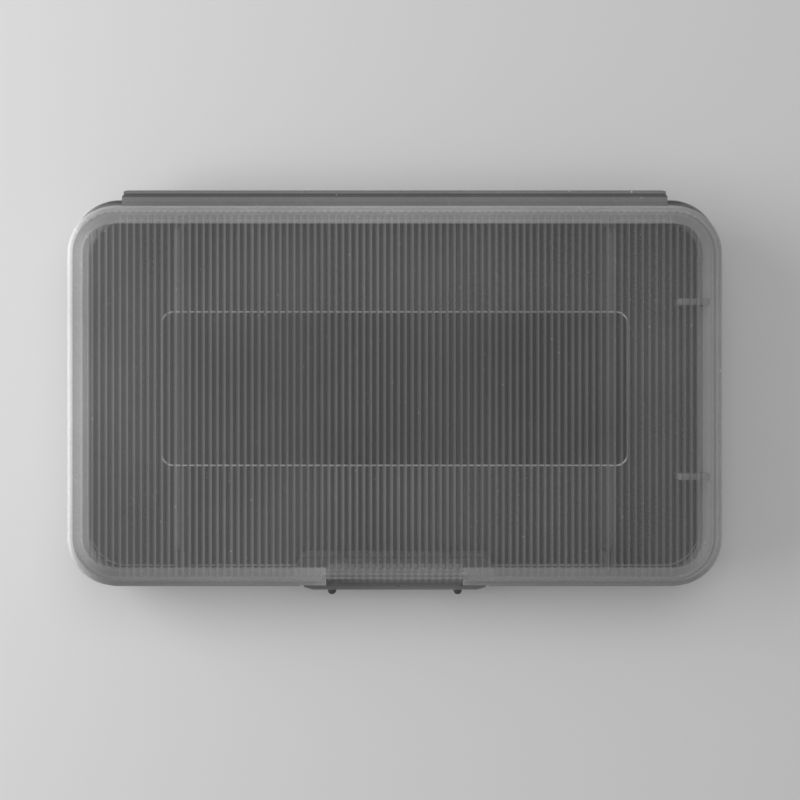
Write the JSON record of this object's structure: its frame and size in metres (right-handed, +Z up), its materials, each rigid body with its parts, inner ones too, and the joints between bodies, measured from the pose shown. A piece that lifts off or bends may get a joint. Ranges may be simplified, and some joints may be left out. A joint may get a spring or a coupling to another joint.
{
  "type": "battery case",
  "caption": "Flat hinged storage case in frosted ribbed plastic with a snap latch, loose dividers and compartments for spare cells.",
  "frame": {"origin": "centre of the case on the flat underside of the tray", "axes": "+X along the length, +Y to the hinge side, +Z up through the lid"},
  "size_m": [0.16, 0.0995, 0.02],
  "materials": {
    "shell_plastic": "frosted translucent polypropylene, satin",
    "divider_plastic": "frosted translucent polypropylene, satin",
    "film_plastic": "thin flexed polypropylene, slightly whitened"
  },
  "bodies": {
    "tray": {"tray_shell": "shell_plastic", "divider_left": "divider_plastic", "divider_right": "divider_plastic", "hinge_film": "film_plastic"},
    "lid": {"lid_shell": "shell_plastic", "latch_film": "film_plastic"},
    "flap": {"latch_flap": "shell_plastic"}
  },
  "joints": [
    {"name": "lid_hinge", "type": "hinge", "parent": "tray", "child": "lid", "pos_m": [0, 0.05054, 0.0126], "axis": [-1, 0, 0], "range_deg": [0, 180], "deforming": ["hinge_film"]},
    {"name": "latch_hinge", "type": "hinge", "parent": "lid", "child": "flap", "pos_m": [0, -0.04671, 0.01284], "axis": [-1, 0, 0], "range_deg": [0, 120], "deforming": ["latch_film"]}
  ]
}
